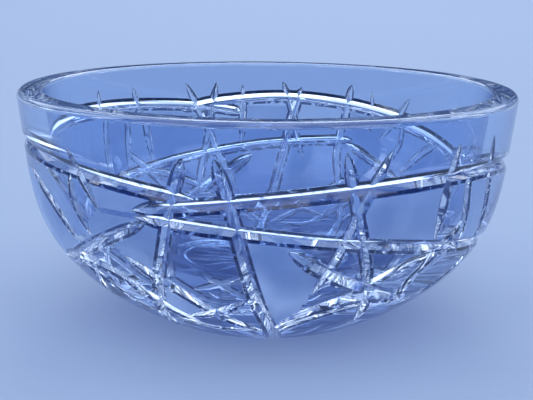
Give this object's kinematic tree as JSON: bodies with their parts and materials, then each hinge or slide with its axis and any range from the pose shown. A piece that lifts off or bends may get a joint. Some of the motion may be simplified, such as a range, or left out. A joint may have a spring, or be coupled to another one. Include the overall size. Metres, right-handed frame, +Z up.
{
  "type": "cut crystal bowl",
  "caption": "Round heavy glass bowl with a plain thick rim, a wall crossed by long V-shaped mitre cuts with satin panels between them, and a star cut under the base.",
  "frame": {"origin": "centre of the foot ring, on the surface that the bowl stands on", "axes": "+Z up through the bowl's axis, -Y towards the side that the picture shows, +X to the right seen from that side"},
  "size_m": [0.2, 0.2, 0.092],
  "materials": {
    "crystal": "clear polished lead crystal with mitre cuts and some satin panels"
  },
  "bodies": {
    "root": {"bowl": "crystal"}
  },
  "joints": []
}
